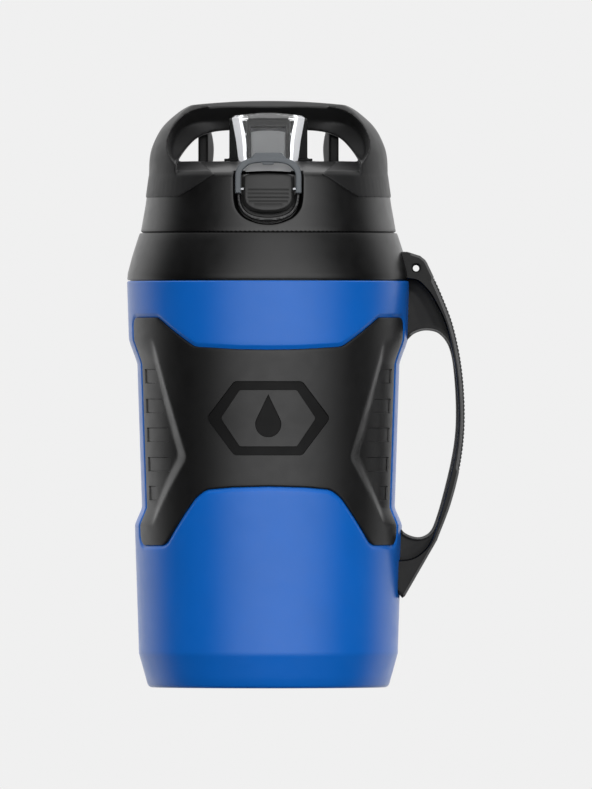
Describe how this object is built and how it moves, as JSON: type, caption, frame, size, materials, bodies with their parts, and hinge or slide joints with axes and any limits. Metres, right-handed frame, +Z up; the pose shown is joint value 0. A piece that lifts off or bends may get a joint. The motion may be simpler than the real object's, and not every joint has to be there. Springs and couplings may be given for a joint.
{
  "type": "insulated water jug",
  "caption": "Large insulated sport jug with a screw lid, carry loop, flip cap over a spout, lock bail, push button and a C-shaped side handle.",
  "frame": {"origin": "centre of the foot, on the jug's axis", "axes": "+Z up along the jug's axis, -Y towards the button and spout, +X towards the side handle"},
  "size_m": [0.1689, 0.1414, 0.2931],
  "materials": {
    "blue_shell": "satin",
    "black_plastic": "fine matte",
    "foam": "foamed",
    "white_liner": "smooth",
    "grip_rubber": "matte",
    "soft_black": "soft touch",
    "silicone": "smooth",
    "steel": "brushed",
    "clear_cap": "clear smoke",
    "slate_plastic": "satin",
    "button_rubber": "matte"
  },
  "bodies": {
    "jug": {"outer_shell": "blue_shell", "base_cap": "blue_shell", "foam_plug": "black_plastic", "foam_insulation": "foam", "inner_liner": "white_liner", "collar": "black_plastic", "front_grip": "grip_rubber", "rear_grip": "grip_rubber", "side_handle": "black_plastic", "handle_grip_strip": "grip_rubber"},
    "gasket": {"lid_gasket": "silicone"},
    "lid": {"lid_shell": "black_plastic", "lid_inner": "black_plastic", "carry_handle": "soft_black", "chug_spout": "slate_plastic", "vent_valve": "silicone", "hinge_tower": "black_plastic", "hinge_pin": "steel", "cap_spring": "steel", "latch_frame": "black_plastic", "button_spring": "steel"},
    "cap": {"flip_cap": "clear_cap", "cap_frame": "black_plastic", "cap_seal": "silicone"},
    "bail": {"lock_bail": "slate_plastic", "bail_pins": "steel"},
    "button": {"release_button": "button_rubber"}
  },
  "joints": [
    {"name": "lid_lift", "type": "slide", "parent": "jug", "child": "gasket", "axis": [0, 0, 1], "range_m": [0, 0.0151]},
    {"name": "lid_turn", "type": "hinge", "parent": "gasket", "child": "lid", "pos_m": [0, 0, 0.245], "axis": [0, 0, 1], "range_deg": [0, 360]},
    {"name": "cap_hinge", "type": "hinge", "parent": "lid", "child": "cap", "pos_m": [0, -0.021, 0.281], "axis": [-1, 0, 0], "range_deg": [0, 100]},
    {"name": "bail_pivot", "type": "hinge", "parent": "lid", "child": "bail", "pos_m": [0, -0.0633, 0.2484], "axis": [1, 0, 0], "range_deg": [0, 150]},
    {"name": "button_press", "type": "slide", "parent": "lid", "child": "button", "axis": [0, 1, 0], "range_m": [0, 0.0015], "stiffness_N_per_m": 400, "deforming": ["button_spring"]}
  ],
  "couplings": [
    {"joint": "lid_lift", "follows": "lid_turn", "m_per_rad": 0.0023873}
  ]
}
